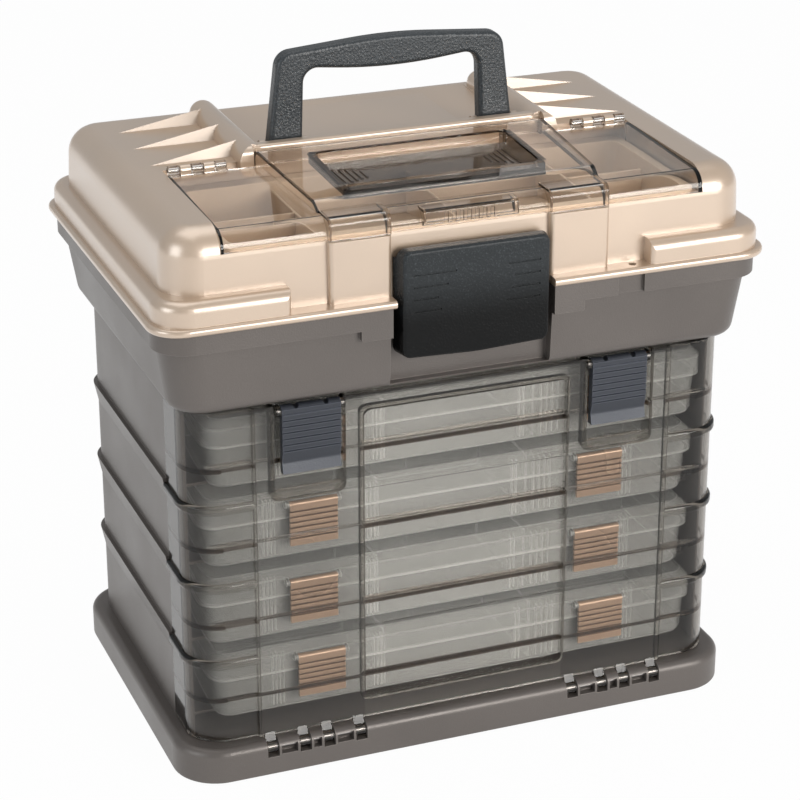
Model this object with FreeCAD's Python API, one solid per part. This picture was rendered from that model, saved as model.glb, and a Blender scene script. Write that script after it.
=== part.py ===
import FreeCAD, Part
import math
import os

# Fishing tackle cabinet: a base, a shell with runners for four utility boxes, a fold-down
# clear door in front of them, a deep tub on top, and a lid that holds a bait tray under its
# own small clear cover. Lengths are in millimetres.
# The origin is on the floor below the middle of the lid's rim. X runs to the right, Y to the
# back and Z up, so the door faces -Y.

V = FreeCAD.Vector

# Fits and overruns shared by every piece
running_fit = 0.05
seat_gap = 0.2
swing_gap = 1.0
overrun = 10.0

# Base tray
base_width = 415.0
base_front = -139.0
base_back = 132.0
base_corner = 32.0
base_height = 25.5
base_top_round = 6.0
base_foot_round = 2.0
base_wall = 3.0
base_rib = 2.4
base_rib_count = 4
base_long_rib_count = 2
base_grid_depth = 5.5

# Door hinge: arms of the door turn on pins in the base's front edge
door_axis_y = -133.5
door_axis_z = 19.5
door_pin_radius = 2.0
door_arm_radius = 4.3
arm_root_share = 0.96
door_arm_width = 7.4
door_arm_slot = 8.4
hinge_centre_x = 112.5
arm_inner_pitch = 17.5
arm_outer_pitch = 64.4
hinge_block_width = 86.0
hinge_block_depth = 17.0
hinge_window_low = 4.2
hinge_window_high = 2.6
hinge_window_margin = 1.6

# Cabinet shell
shell_width = 392.0
shell_front = -77.0
shell_back = 121.5
shell_corner = 25.0
shell_wall = 3.0
rib_depth = 3.0
rib_height = 14.5
cheek_front = -108.0
cheek_wall = 2.5
cheek_lap = 17.0
runner_width = 26.0
runner_thickness = 2.0
runner_guide_x = 188.0
runner_guide_height = 7.0
runner_back_gap = 3.5
row_count = 4
row_pitch = 58.4
row_floor = 30.2

# Top tub
tub_floor_level = 273.8
tub_foot_width = 407.0
tub_foot_front = -135.5
tub_foot_back = 131.0
tub_mouth_width = 425.0
tub_mouth_front = -139.0
tub_mouth_back = 137.0
tub_corner = 24.0
tub_foot_round = 8.0
tub_wall = 3.0
band_width = 430.0
band_front = -142.0
band_back = 139.6
band_height = 13.4
latch_bay_width = 115.0
latch_bay_depth = 7.5
lug_width = 22.0
lug_drop = 7.5
keyway_start_x = 104.0
keyway_width = 19.5
keeper_width = 60.0
keeper_reach = 5.5
keeper_thickness = 3.5
keeper_level = 303.5

# Lid
rim_level = 333.4
rim_width = 438.0
rim_depth = 292.0
rim_corner = 23.0
bead_height = 5.6
bead_round = 2.6
haunch_width = 430.0
haunch_depth = 287.0
haunch_top = 355.5
haunch_round = 7.0
haunch_gap_half = 127.0
dome_foot_width = 413.0
dome_foot_front = -132.2
dome_foot_back = 138.0
dome_head_width = 409.0
dome_head_front = -130.5
dome_head_back = 134.5
dome_corner = 24.0
dome_top = 397.2
dome_round = 19.0
lid_wall = 2.5
pilaster_inner_x = 56.0
pilaster_outer_x = 99.0
pilaster_proud = 4.0
pilaster_round = 3.0
padlock_hole_x = 116.0
padlock_hole_radius = 2.6
opening_half = 170.0
opening_back = -2.0
sill_level = 381.0
ledge_reach = 6.0
ledge_thickness = 2.5
deck_level = 394.0
deck_front = -14.5
ridge_x = 107.2
ridge_radius = 9.8
ridge_crest = 408.4
ridge_back = 118.0
ridge_nose_front = -9.0
ridge_nose_round = 6.0
crossbar_depth = 9.0
crossbar_drop = 1.2
crossbar_round = 2.5
well_half = 96.0
well_front = 8.5
well_back = 115.0
well_depth = 7.0
pad_half = 60.0
pad_front = 25.0
pad_drop = 0.6
pad_round = 2.0
flute_count = 3
flute_pitch = 39.5
flute_first_y = 10.7
flute_tip_x = 175.0
flute_rise = 10.8
flute_lean = 4.4
flute_run = 33.0
haunch_end_round = 3.5

# Lid hinge at the back of the rim
lid_axis_y = 141.5
lid_knuckle_radius = 4.2
lid_pin_radius = 2.0
lid_hinge_x = 112.0
lid_knuckle_width = 18.0
lid_knuckle_gap = 0.5
lid_notch_y = 136.4

# Clear top cover
cover_axis_y = -9.5
cover_axis_z = 399.0
cover_pin_radius = 1.2
cover_knuckle_radius = 3.2
cover_knuckle_width = 7.4
cover_knuckle_first_x = 131.5
cover_knuckle_pitch = 16.5
cover_knuckle_count = 3
cover_wall = 2.2
cover_edge_gap = 0.4
cover_back_y = -15.5
cover_wing_back_z = 397.2
cover_wing_front_z = 394.8
cover_front_y = -130.6
cover_lip_y = -131.4
cover_bend_round = 12.0
cover_roll_radius = 6.5
cover_roll_share = 0.98
cover_crown_front_y = -107.0
cover_crown_front_z = 401.0
cover_slope_foot_y = -122.0
cover_slope_foot_z = 391.0
cover_brow_z = 387.5
cover_slope_round = 7.0
cover_brow_round = 3.0
cover_crown_back_half = 106.0
cover_crown_front_half = 98.6
cover_boss_top_z = 396.5
cover_boss_front_y = -134.6
cover_boss_round = 6.0
cover_dish_half = 70.0
cover_dish_back = -22.0
cover_dish_front = -87.0
cover_dish_corner = 7.0
cover_dish_floor = 396.0
dish_rib_count = 5
dish_rib_margin = 7.0
dish_rib_pitch = 4.3
dish_rib_width = 1.4
dish_rib_rise = 0.9
dish_rib_reach = 16.0
dish_rib_fall_share = 0.13
catch_half = 33.5
catch_front_y = -134.4
catch_top_z = 394.5
catch_foot_z = 383.5
catch_round = 2.5
catch_recess_half = 19.0
catch_recess_depth = 0.9
catch_recess_drop = 3.2
catch_rib_count = 7
catch_rib_share = 0.5

# Bait tray under the cover
tray_rim_half = 166.6
tray_rim_front = -127.5
tray_rim_back = -3.0
tray_rim_thickness = 2.0
tray_mouth_half = 162.0
tray_mouth_front = -121.5
tray_mouth_back = -12.0
tray_floor_half = 157.0
tray_floor_front = -117.0
tray_floor_back = -16.0
tray_corner = 9.0
tray_depth = 28.0
tray_wall = 2.0
tray_divider = 1.6
tray_divider_gap = 0.3
tray_divider_drop = 3.0
tray_split_x = 98.0
tray_split_share = 0.5

# Carry handle
handle_axis_y = 15.0
handle_axis_z = 400.5
handle_depth = 12.0
handle_foot_outer = 91.0
handle_foot_inner = 66.0
handle_head_outer = 82.5
handle_head_inner = 64.0
handle_top_end = 465.5
handle_top_middle = 472.0
handle_under_end = 454.0
handle_under_middle = 447.0
handle_outer_round = 12.0
handle_inner_round = 10.0
handle_foot_drop = 4.8
handle_crown_radius = 360.0
handle_edge_round = 3.2
handle_pin_radius = 2.2
handle_ear_radius = 4.4
handle_ear_width = 4.2
handle_ear_gap = 0.6

# Front latch on the lid
latch_half = 51.5
latch_flare = 3.0
latch_front = -145.6
latch_back = -132.9
latch_bottom = 295.5
latch_top = 371.5
latch_sag = 2.0
latch_wall = 3.0
latch_corner = 6.0
latch_edge_round = 2.4
latch_axis_y = -139.0
latch_axis_z = 365.2
latch_pin_radius = 1.6
latch_ear_x = 30.0
latch_ear_width = 6.0
latch_ear_radius = 2.6
latch_ear_waist = 3.2
latch_ear_drop = 4.5
latch_ear_root_top = 9.0
latch_ear_root_foot = 20.0
latch_top_overhang = 2.2
latch_hook_half = 26.0
latch_hook_thickness = 2.5
latch_hook_end = -134.6
latch_line_depth = 0.8
latch_line_height = 1.2
latch_line_pitch = 8.45
latch_line_top_drop = 16.5
latch_line_edge = 6.6
latch_line_length = 30.0
latch_left_lines_share = [1.0, 0.81, 0.58, 0.66]
latch_right_lines_share = [0.77, 0.62, 0.68, 0.8]

# Fold-down clear door
door_width = 393.0
door_corner = 25.0
door_rear = -78.0
door_front = -130.3
door_foot = 26.6
door_top = 271.5
door_wall = 2.5
door_column_set_back = 2.5
door_panel_half = 152.0
door_window_half = 74.0
door_window_low = 41.5
door_window_high = 258.8
door_window_set_back = 4.0
door_window_round = 5.0
door_bead_levels = [86.0, 143.6, 201.4]
door_bead_height = 7.0
door_bead_round = 2.3
door_rib_offset = 28.0
door_rib_thickness = 1.8
door_rib_depth = 3.0
door_top_lip = 8.0
pocket_centre = 113.0
pocket_half = 24.0
pocket_floor_y = -124.4
pocket_bottom = 204.5
pocket_round = 6.0
pocket_ledge = 4.5
window_line_levels = [97.0, 201.0]
window_line_height = 1.2
window_line_depth = 0.7

# Door latches
door_latch_x = 111.6
door_latch_half = 20.4
door_latch_axis_y = -129.0
door_latch_axis_z = 267.0
door_latch_barrel = 4.2
door_latch_back_share = 0.9
door_latch_bottom = 223.0
door_latch_front = -133.4
door_latch_back = -127.4
door_latch_scoop = 2.2
door_latch_scoop_share = 0.36
door_latch_rib_count = 7
door_latch_groove = 1.3
door_latch_pin_radius = 1.3
door_latch_boss_radius = 3.6
door_latch_boss_width = 2.6
door_latch_notch_x = 10.4
door_latch_notch_radius = 2.2

# Utility boxes
box_length = 368.0
box_depth = 224.5
box_front = -110.0
box_base_height = 32.0
box_taper = 4.4
box_corner = 13.0
box_foot_round = 6.0
box_wall = 1.8
box_lid_height = 19.0
box_lid_skirt = 13.0
box_lid_overhang = 3.0
box_lid_chamfer = 6.0
box_lid_wall = 1.6
box_lid_recess = 0.8
box_lid_recess_margin = 26.0
box_lane_share = 0.42
box_front_dividers_share = [0.34, 0.66]
box_back_dividers_share = [0.5]
box_divider = 1.4
box_divider_gap = 0.3
box_divider_drop = 2.5
box_shift_right = [5.5, 1.0, 0.5, 5.5]
box_hinge_radius = 2.2
box_hinge_pin_radius = 0.9
box_hinge_knuckle = 14.0
box_hinge_gap = 0.4
box_hinge_x = 110.0
box_hinge_reach = 1.2

# Latches of the utility boxes
box_latch_x = 106.0
box_latch_half = 17.0
box_latch_thickness = 2.6
box_latch_standoff = 0.5
box_latch_barrel = 2.3
box_latch_axis_drop = 3.4
box_latch_length = 30.0
box_latch_rib_count = 6
box_latch_rib_depth = 1.2
box_latch_pin_radius = 0.9
box_latch_ear_width = 2.4
box_latch_ear_gap = 0.4

# Values worked out from the sizes above
base_half = base_width / 2
shell_half = shell_width / 2
band_half = band_width / 2
rim_half_width = rim_width / 2
rim_half_depth = rim_depth / 2
tub_top = rim_level - seat_gap
door_half = door_width / 2
latch_bay_half = latch_bay_width / 2
box_half = box_length / 2
box_back = box_front + box_depth
box_split = box_base_height
box_height = box_base_height + box_lid_height
tray_floor_level = sill_level - tray_depth


def block(x0, x1, y0, y1, z0, z1):
    return Part.makeBox(x1 - x0, y1 - y0, z1 - z0, V(x0, y0, z0))


def rod(radius, x0, x1, y, z):
    return Part.makeCylinder(radius, x1 - x0, V(x0, y, z), V(1, 0, 0))


def mirrored(shape):
    return shape.mirror(V(0, 0, 0), V(1, 0, 0))


def both(shape):
    return [shape, mirrored(shape)]


def joined(first, *others):
    return first.fuse(list(others)).removeSplitter()


def cut(first, *others):
    return first.cut(list(others))


# An outline is a list of corners (u, v) or (u, v, radius). A corner with a radius becomes
# an arc that is tangent to both of its sides.
def outline_wire(corners, place):
    count = len(corners)
    edges = []
    spans = []
    for i in range(count):
        here = V(corners[i][0], corners[i][1], 0)
        radius = corners[i][2] if len(corners[i]) > 2 else 0
        if radius == 0:
            spans.append((here, here, here))
            continue
        back = V(corners[i - 1][0], corners[i - 1][1], 0) - here
        ahead = V(corners[(i + 1) % count][0], corners[(i + 1) % count][1], 0) - here
        back.normalize()
        ahead.normalize()
        half_angle = math.acos(max(-1.0, min(1.0, back.dot(ahead)))) / 2
        reach = radius / math.tan(half_angle)
        middle_way = back + ahead
        middle_way.normalize()
        centre = here + middle_way * (radius / math.sin(half_angle))
        spans.append((here + back * reach, centre - middle_way * radius, here + ahead * reach))
    for i in range(count):
        start, middle, end = spans[i]
        if (end - start).Length > 0:
            points = [place(p.x, p.y) for p in (start, middle, end)]
            edges.append(Part.Arc(points[0], points[1], points[2]).toShape())
        following = spans[(i + 1) % count][0]
        if (following - end).Length > running_fit / 100:
            edges.append(Part.LineSegment(place(end.x, end.y), place(following.x, following.y)).toShape())
    return Part.Wire(Part.__sortEdges__(edges))


def extrude_x(corners, x0, x1):
    wire = outline_wire(corners, lambda u, v: V(x0, u, v))
    return Part.Face(wire).extrude(V(x1 - x0, 0, 0))


def extrude_y(corners, y0, y1):
    wire = outline_wire(corners, lambda u, v: V(u, y0, v))
    return Part.Face(wire).extrude(V(0, y1 - y0, 0))


def extrude_z(corners, z0, z1):
    wire = outline_wire(corners, lambda u, v: V(u, v, z0))
    return Part.Face(wire).extrude(V(0, 0, z1 - z0))


def plan(half, front, back, corner):
    return [(-half, front, corner), (half, front, corner), (half, back, corner), (-half, back, corner)]


def plan_prism(half, front, back, corner, low, high):
    return extrude_z(plan(half, front, back, corner), low, high)


def plan_loft(sections):
    wires = []
    for half, front, back, corner, level in sections:
        wires.append(outline_wire(plan(half, front, back, corner), lambda u, v, z=level: V(u, v, z)))
    return Part.makeLoft(wires, True, True)


def edges_at(shape, level):
    found = []
    for edge in shape.Edges:
        box = edge.BoundBox
        if abs(box.ZMin - level) < seat_gap / 10 and abs(box.ZMax - level) < seat_gap / 10:
            found.append(edge)
    return found


def rounded_at(shape, level, radius):
    return shape.makeFillet(radius, edges_at(shape, level))


def hinge_arm_places(side):
    offsets = [-arm_outer_pitch / 2, -arm_inner_pitch / 2, arm_inner_pitch / 2, arm_outer_pitch / 2]
    return sorted(side * hinge_centre_x + offset for offset in offsets)


# Base: a moulded tray turned upside down, with one deep rib and a shallow grid underneath and
# two sets of slots in its front edge for the arms of the door.
def base_tray():
    body = plan_prism(base_half, base_front, base_back, base_corner, 0, base_height)
    body = rounded_at(body, base_height, base_top_round)
    body = rounded_at(body, 0, base_foot_round)
    inner_half = base_half - base_wall
    hollow = plan_prism(inner_half, base_front + base_wall, base_back - base_wall,
                        base_corner - base_wall, -overrun, base_height - base_wall)
    grid_low = base_height - base_wall - base_grid_depth
    keep = [block(-base_rib / 2, base_rib / 2, base_front, base_back, 0, base_height)]
    for i in range(base_rib_count):
        x = base_width * ((i + 1) / (base_rib_count + 1) - 1 / 2)
        keep.append(block(x - base_rib / 2, x + base_rib / 2, base_front, base_back, grid_low, base_height))
    for i in range(base_long_rib_count):
        y = base_front + (base_back - base_front) * (i + 1) / (base_long_rib_count + 1)
        keep.append(block(-inner_half, inner_half, y - base_rib / 2, y + base_rib / 2, grid_low, base_height))
    for side in (-1, 1):
        x = side * hinge_centre_x
        keep.append(block(x - hinge_block_width / 2, x + hinge_block_width / 2, base_front,
                          base_front + hinge_block_depth, 0, base_height))
    body = cut(body, cut(hollow, *keep))
    cutters = []
    for side in (-1, 1):
        places = hinge_arm_places(side)
        for x in places:
            cutters.append(block(x - door_arm_slot / 2, x + door_arm_slot / 2, base_front - overrun,
                                 door_axis_y + door_arm_radius + swing_gap + swing_gap,
                                 door_axis_z - door_arm_radius - swing_gap, base_height + overrun))
        for a, b in zip(places[:-1], places[1:]):
            cutters.append(block(a + door_arm_slot / 2 + hinge_window_margin,
                                 b - door_arm_slot / 2 - hinge_window_margin,
                                 base_front - overrun, door_axis_y,
                                 door_axis_z - hinge_window_low, door_axis_z + hinge_window_high))
        reach = arm_outer_pitch / 2 + door_arm_slot
        x = side * hinge_centre_x
        cutters.append(rod(door_pin_radius + running_fit / 2, x - reach, x + reach, door_axis_y, door_axis_z))
    return cut(body, *cutters)


def door_hinge_pins():
    reach = arm_outer_pitch / 2 + door_arm_slot - running_fit
    pins = [rod(door_pin_radius, side * hinge_centre_x - reach, side * hinge_centre_x + reach,
                door_axis_y, door_axis_z) for side in (-1, 1)]
    return Part.makeCompound(pins)


# Shell: two sides and a back in one wrap, with a ledge-topped rib at each row and a cheek
# inside each front edge.
def shell_plan(grow):
    half = shell_half + grow
    back = shell_back + grow
    corner = shell_corner + grow
    return [(-half, shell_front), (half, shell_front), (half, back, corner), (-half, back, corner)]


def shell_rib(top):
    low = outline_wire(shell_plan(0), lambda u, v: V(u, v, top - rib_height))
    high = outline_wire(shell_plan(rib_depth), lambda u, v: V(u, v, top))
    return Part.makeLoft([low, high], True, True)


def shell_hollow():
    inner = shell_half - shell_wall
    back = shell_back - shell_wall
    corner = shell_corner - shell_wall
    return extrude_z([(-inner, shell_front - overrun), (inner, shell_front - overrun),
                      (inner, back, corner), (-inner, back, corner)],
                     base_height - overrun, tub_floor_level + overrun)


def cheek():
    outer = shell_half - shell_wall
    inner = outer - cheek_wall
    return extrude_z([(inner, cheek_front, cheek_wall / 3), (outer, cheek_front, cheek_wall / 3),
                      (outer, shell_front + cheek_lap), (inner, shell_front + cheek_lap)],
                     base_height, tub_floor_level - tub_foot_round)


def cabinet_shell():
    body = extrude_z(shell_plan(0), base_height, tub_floor_level)
    ribs = [shell_rib(row_floor + row_pitch * row + runner_thickness) for row in range(1, row_count)]
    body = cut(joined(body, *ribs), shell_hollow())
    return joined(body, *both(cheek()))


# Runners: an L-shaped rail on each side for each utility box
def runner(row):
    top = row_floor + row_pitch * row
    back = shell_back - shell_wall
    inner = shell_half - shell_wall
    shelf = block(inner - runner_width, inner, cheek_front, back - runner_back_gap, top - runner_thickness, top)
    guide = block(runner_guide_x, runner_guide_x + runner_thickness, cheek_front, back - shell_corner,
                  top, top + runner_guide_height)
    return joined(shelf, guide)


def box_runners():
    room = cut(shell_hollow(), cheek())
    rails = [rail for row in range(row_count) for rail in both(runner(row).common(room))]
    return Part.makeCompound(rails)


# Tub: drawn in towards its foot, with a deep band round its mouth, a bay in front for the
# latch, a lug each side of the bay and, on the right, a gap in the band for a padlock.
def top_tub():
    low = tub_floor_level
    outer = plan_loft([(tub_foot_width / 2, tub_foot_front, tub_foot_back, tub_corner, low),
                       (tub_mouth_width / 2, tub_mouth_front, tub_mouth_back, tub_corner, tub_top)])
    outer = rounded_at(outer, low, tub_foot_round)
    band = plan_prism(band_half, band_front, band_back, tub_corner, tub_top - band_height, tub_top)
    lug = extrude_y([(latch_bay_half, tub_top - band_height - lug_drop),
                     (latch_bay_half + lug_width, tub_top - band_height - lug_drop, lug_drop / 5),
                     (latch_bay_half + lug_width, tub_top), (latch_bay_half, tub_top)],
                    band_front, tub_foot_front + tub_wall)
    body = joined(outer, band, *both(lug))
    body = cut(body, block(keyway_start_x, keyway_start_x + keyway_width, band_front - overrun,
                           tub_mouth_front, low, tub_top + overrun))
    hollow = plan_loft([(tub_foot_width / 2 - tub_wall, tub_foot_front + tub_wall, tub_foot_back - tub_wall,
                         tub_corner - tub_wall, low + tub_wall),
                        (tub_mouth_width / 2 - tub_wall, tub_mouth_front + tub_wall,
                         tub_mouth_back - tub_wall, tub_corner - tub_wall, tub_top)])
    hollow = rounded_at(hollow, low + tub_wall, tub_foot_round - tub_wall)
    bay_back = tub_foot_front + latch_bay_depth
    behind_bay = block(-latch_bay_half - tub_wall, latch_bay_half + tub_wall, tub_mouth_front,
                       bay_back + tub_wall, low, tub_top)
    mouth = block(-tub_mouth_width, tub_mouth_width, -rim_depth, rim_depth, tub_top, tub_top + overrun)
    body = cut(body, cut(hollow, behind_bay), mouth)
    bay = block(-latch_bay_half, latch_bay_half, band_front - overrun, bay_back,
                low + tub_wall, tub_top + overrun)
    keeper = block(-keeper_width / 2, keeper_width / 2, bay_back - keeper_reach, bay_back,
                   keeper_level, keeper_level + keeper_thickness)
    body = joined(cut(body, bay), keeper)
    return finish_tub_hinge(body)


def lid_hinge_spans(side):
    start = side * lid_hinge_x - lid_knuckle_width * 3 / 2
    return [(start + lid_knuckle_width * i, start + lid_knuckle_width * (i + 1)) for i in range(3)]


# The tub has the two outer knuckles of each lid hinge, and the lid has the middle one.
def finish_tub_hinge(body):
    gap = lid_knuckle_gap
    for side in (-1, 1):
        spans = lid_hinge_spans(side)
        middle = spans[1]
        body = cut(body, block(middle[0] - gap, middle[1] + gap, lid_notch_y, rim_half_depth,
                               rim_level - lid_knuckle_radius - swing_gap, rim_level + overrun))
        for x0, x1 in (spans[0], spans[2]):
            knuckle = rod(lid_knuckle_radius, x0 + gap, x1 - gap, lid_axis_y, rim_level)
            web = block(x0 + gap, x1 - gap, lid_notch_y, lid_axis_y,
                        rim_level - lid_knuckle_radius, tub_top)
            body = joined(body, knuckle, web)
        body = cut(body, rod(lid_pin_radius + running_fit / 2, spans[0][0] - gap, spans[2][1] + gap,
                             lid_axis_y, rim_level))
    return body


def lid_hinge_pins():
    pins = []
    for side in (-1, 1):
        spans = lid_hinge_spans(side)
        pins.append(rod(lid_pin_radius, spans[0][0] + lid_knuckle_gap, spans[2][1] - lid_knuckle_gap,
                        lid_axis_y, rim_level))
    return Part.makeCompound(pins)


# Lid: the dome and its haunch
def dome(inset):
    foot = dome_foot_width / 2 - inset
    head = dome_head_width / 2 - inset
    body = plan_loft([(foot, dome_foot_front + inset, dome_foot_back - inset, dome_corner - inset, rim_level),
                      (head, dome_head_front + inset, dome_head_back - inset, dome_corner - inset,
                       dome_top - inset)])
    return rounded_at(body, dome_top - inset, dome_round - inset)


def haunch():
    body = plan_prism(haunch_width / 2, -haunch_depth / 2, haunch_depth / 2, rim_corner,
                      rim_level, haunch_top)
    body = rounded_at(body, haunch_top, haunch_round)
    half = haunch_width / 2
    front = -haunch_depth / 2
    inside = dome_foot_front + dome_corner
    return body.common(extrude_z(
        [(-half, -front), (-half, front), (-haunch_gap_half, front, haunch_end_round),
         (-haunch_gap_half, inside), (haunch_gap_half, inside),
         (haunch_gap_half, front, haunch_end_round), (half, front), (half, -front)],
        rim_level, haunch_top))


def rim():
    body = plan_prism(rim_half_width, -rim_half_depth, rim_half_depth, rim_corner,
                      rim_level, rim_level + bead_height)
    body = rounded_at(body, rim_level, bead_round)
    return rounded_at(body, rim_level + bead_height, bead_round)


def pilaster():
    face = dome_foot_front - pilaster_proud
    corners = [(pilaster_inner_x, face, pilaster_round), (pilaster_outer_x, face, pilaster_round),
               (pilaster_outer_x, dome_foot_front + pilaster_proud),
               (pilaster_inner_x, dome_foot_front + pilaster_proud)]
    return extrude_z(corners, rim_level, sill_level)


# Two long ridges stand on the dome, joined in front by a crossbar. Between them is the well
# that the handle folds into.
def ridge():
    centre_z = ridge_crest - ridge_radius
    bar = Part.makeCylinder(ridge_radius, ridge_back - ridge_radius - opening_back,
                            V(ridge_x, opening_back, centre_z), V(0, 1, 0))
    tail = Part.makeSphere(ridge_radius, V(ridge_x, ridge_back - ridge_radius, centre_z))
    return joined(bar, tail).common(block(0, rim_width, -rim_depth, rim_depth, dome_top - lid_wall,
                                          ridge_crest + overrun))


# The outer half of each ridge runs on past the opening's back edge, beside the cover's crown.
def ridge_nose():
    low = deck_level - ledge_thickness
    centre_z = ridge_crest - ridge_radius
    bar = Part.makeCylinder(ridge_radius, well_front - ridge_nose_front,
                            V(ridge_x, ridge_nose_front, centre_z), V(0, 1, 0))
    root = block(ridge_x, ridge_x + ridge_radius, ridge_nose_front, well_front, low, centre_z)
    profile = extrude_x([(ridge_nose_front, low), (ridge_nose_front, ridge_crest, ridge_nose_round),
                         (well_front, ridge_crest), (well_front, low)], ridge_x, ridge_x + ridge_radius)
    return profile.common(bar.fuse(root))


def crossbar():
    top = ridge_crest - crossbar_drop
    corners = [(opening_back, deck_level - ledge_reach), (opening_back, top, crossbar_round),
               (opening_back + crossbar_depth, top, crossbar_round),
               (opening_back + crossbar_depth, deck_level - ledge_reach)]
    return extrude_x(corners, -ridge_x, ridge_x)


# The well's floor is deepest in front and rises to the top of the dome at its back.
def well(grow):
    half = well_half + grow
    return extrude_x([(well_front - grow, dome_top - well_depth - grow), (well_back + grow, dome_top - grow),
                      (well_back + grow, ridge_crest * 2), (well_front - grow, ridge_crest * 2)], -half, half)


# A flat pad in the well, level with its rim, carries the folded handle.
def well_pad():
    top = dome_top - pad_drop
    slope = well_depth / (well_back - well_front)
    back = well_back - pad_drop / slope
    low = dome_top - slope * (well_back - pad_front) - lid_wall / 2
    return extrude_x([(pad_front, low), (pad_front, top, pad_round), (back, top), (back, top - lid_wall / 2)],
                     -pad_half, pad_half)


# A flute is a saw tooth on the dome: nothing at its outer tip and highest beside the ridge,
# with a steep face in front and a long slope behind.
def flute(index):
    foot_y = flute_first_y + flute_pitch * index
    tip = V(flute_tip_x, foot_y, dome_top)
    foot = V(ridge_x, foot_y, dome_top)
    back = V(ridge_x, foot_y + flute_run, dome_top)
    crest = V(ridge_x, foot_y + flute_lean, dome_top + flute_rise)
    faces = []
    for points in ([tip, foot, crest], [tip, crest, back], [foot, back, crest], [tip, back, foot]):
        faces.append(Part.Face(Part.makePolygon(points + [points[0]])))
    tooth = Part.Solid(Part.Shell(faces))
    root = Part.Face(Part.makePolygon([tip, back, foot, tip])).extrude(V(0, 0, -lid_wall))
    return tooth.fuse(root)


def handle_ears():
    spans = [(handle_foot_inner - handle_ear_gap - handle_ear_width, handle_foot_inner - handle_ear_gap),
             (handle_foot_outer + handle_ear_gap, handle_foot_outer + handle_ear_gap + handle_ear_width)]
    ears = []
    for x0, x1 in spans:
        ears.append(rod(handle_ear_radius, x0, x1, handle_axis_y, handle_axis_z))
        ears.append(block(x0, x1, handle_axis_y - handle_ear_radius, handle_axis_y + handle_ear_radius,
                          dome_top - well_depth - lid_wall / 2, handle_axis_z))
    return ears


def cover_knuckle_places():
    return [cover_knuckle_first_x + cover_knuckle_pitch * i for i in range(cover_knuckle_count)]


# Ears of the lid stand between the knuckles of the cover.
def cover_ears():
    places = cover_knuckle_places()
    ears = []
    for a, b in zip(places[:-1], places[1:]):
        x0 = a + cover_knuckle_width / 2 + swing_gap
        x1 = b - cover_knuckle_width / 2 - swing_gap
        ears.append(rod(cover_knuckle_radius, x0, x1, cover_axis_y, cover_axis_z))
        ears.append(block(x0, x1, cover_axis_y - cover_knuckle_radius, opening_back,
                          deck_level - ledge_thickness, cover_axis_z - cover_knuckle_radius / 2))
    return ears


# Each ear that carries the front latch leaves its barrel downwards and then runs back to
# the dome, so that the latch's top wall can turn past it.
def latch_ear():
    x0 = latch_ear_x
    x1 = latch_ear_x + latch_ear_width
    half = latch_ear_waist / 2
    barrel = rod(latch_ear_radius, x0, x1, latch_axis_y, latch_axis_z)
    root = dome_head_front + lid_wall / 2
    web = extrude_x([(latch_axis_y - half, latch_axis_z), (latch_axis_y + half, latch_axis_z),
                     (latch_axis_y + half, latch_axis_z - latch_ear_drop),
                     (root, latch_axis_z - latch_ear_root_top),
                     (root, latch_axis_z - latch_ear_root_foot),
                     (latch_axis_y - half, latch_axis_z - latch_ear_drop - half)], x0, x1)
    return barrel.fuse(web)


def lid_shell():
    low = rim_level
    body = joined(dome(0), haunch(), rim(), *both(pilaster()), *both(ridge()), crossbar())
    # The rim stops each side of the latch.
    body = cut(body, block(-pilaster_inner_x, pilaster_inner_x, -rim_depth, dome_foot_front,
                           low - overrun, haunch_top))
    teeth = [tooth for i in range(flute_count) for tooth in both(flute(i))]
    body = joined(cut(joined(body, *teeth), well(0)), well_pad())
    # The opening for the bait tray runs over the front edge of the dome.
    opening = block(-opening_half, opening_half, -rim_depth, opening_back, sill_level, ridge_crest * 2)
    body = cut(body, opening)
    hollow = dome(lid_wall)
    frame_outer = block(-opening_half - lid_wall, opening_half + lid_wall, dome_foot_front,
                        opening_back + lid_wall, sill_level - ledge_thickness, ridge_crest * 2)
    hollow = cut(hollow, frame_outer, well(lid_wall))
    lower = plan_prism(dome_foot_width / 2 - lid_wall, dome_foot_front + lid_wall, dome_foot_back - lid_wall,
                       dome_corner - lid_wall, low - overrun, low + seat_gap)
    body = cut(body, hollow, lower)
    tray_hole = block(-opening_half + ledge_reach, opening_half - ledge_reach,
                      dome_foot_front + lid_wall + ledge_reach, opening_back - ledge_reach,
                      low, ridge_crest * 2)
    body = cut(body, tray_hole)
    deck = block(ridge_x, opening_half + lid_wall, deck_front, opening_back + lid_wall,
                 deck_level - ledge_thickness, deck_level)
    additions = both(deck) + both(ridge_nose())
    for ear in handle_ears() + cover_ears() + [latch_ear()]:
        additions += both(ear)
    body = joined(body, *additions)
    bores = []
    reach = handle_foot_outer + handle_ear_gap + handle_ear_width * 2
    for x0, x1, radius, y, z in (
            (0, reach, handle_pin_radius, handle_axis_y, handle_axis_z),
            (cover_knuckle_first_x, opening_half, cover_pin_radius, cover_axis_y, cover_axis_z),
            (0, latch_half, latch_pin_radius, latch_axis_y, latch_axis_z)):
        bores += both(rod(radius + running_fit, x0, x1, y, z))
    hole_y = dome_foot_front - pilaster_proud - swing_gap
    hole = Part.makeCylinder(padlock_hole_radius, bead_height * 2, V(padlock_hole_x, hole_y, low - bead_height / 2))
    body = cut(body, hole, *bores)
    return finish_lid_hinge(body)


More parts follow.
